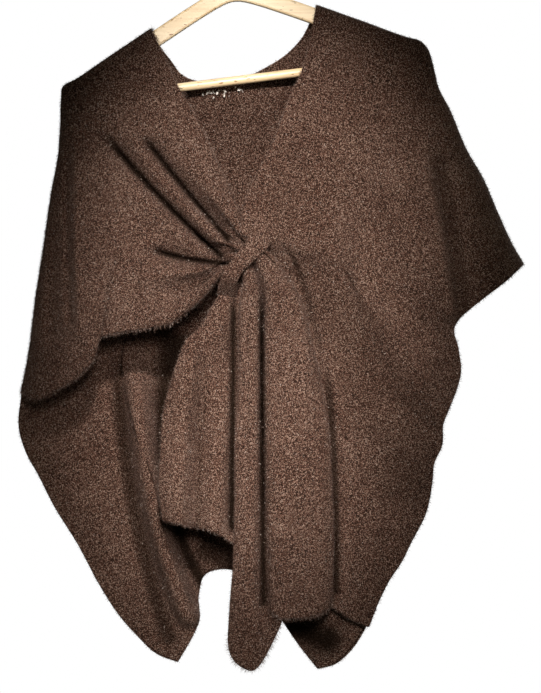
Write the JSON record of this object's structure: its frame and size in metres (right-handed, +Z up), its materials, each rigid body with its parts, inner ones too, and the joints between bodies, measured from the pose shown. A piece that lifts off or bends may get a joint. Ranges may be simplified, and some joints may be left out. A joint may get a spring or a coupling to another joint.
{
  "type": "knitted wrap poncho on a wooden hanger",
  "caption": "Brown fuzzy knitted wrap poncho on a pale wooden hanger, one front gathered under a band of the other and hanging as a tail.",
  "frame": {"origin": "inside top of the hanger's hook, where a rail holds it", "axes": "+X to the wearer's left, +Y to the garment's back, +Z up"},
  "size_m": [0.6078, 0.1487, 0.8901],
  "materials": {
    "knit": "fuzzy fine-rib knit, matt, with pale hairs",
    "wood": "satin pale wood with small dark flecks",
    "steel": "polished wire"
  },
  "bodies": {
    "root": {"back_panel": "knit", "right_front": "knit", "left_front": "knit", "tail": "knit", "loop_band": "knit", "hanger_body": "wood", "hanger_bar": "wood", "hanger_hook": "steel"}
  },
  "joints": []
}
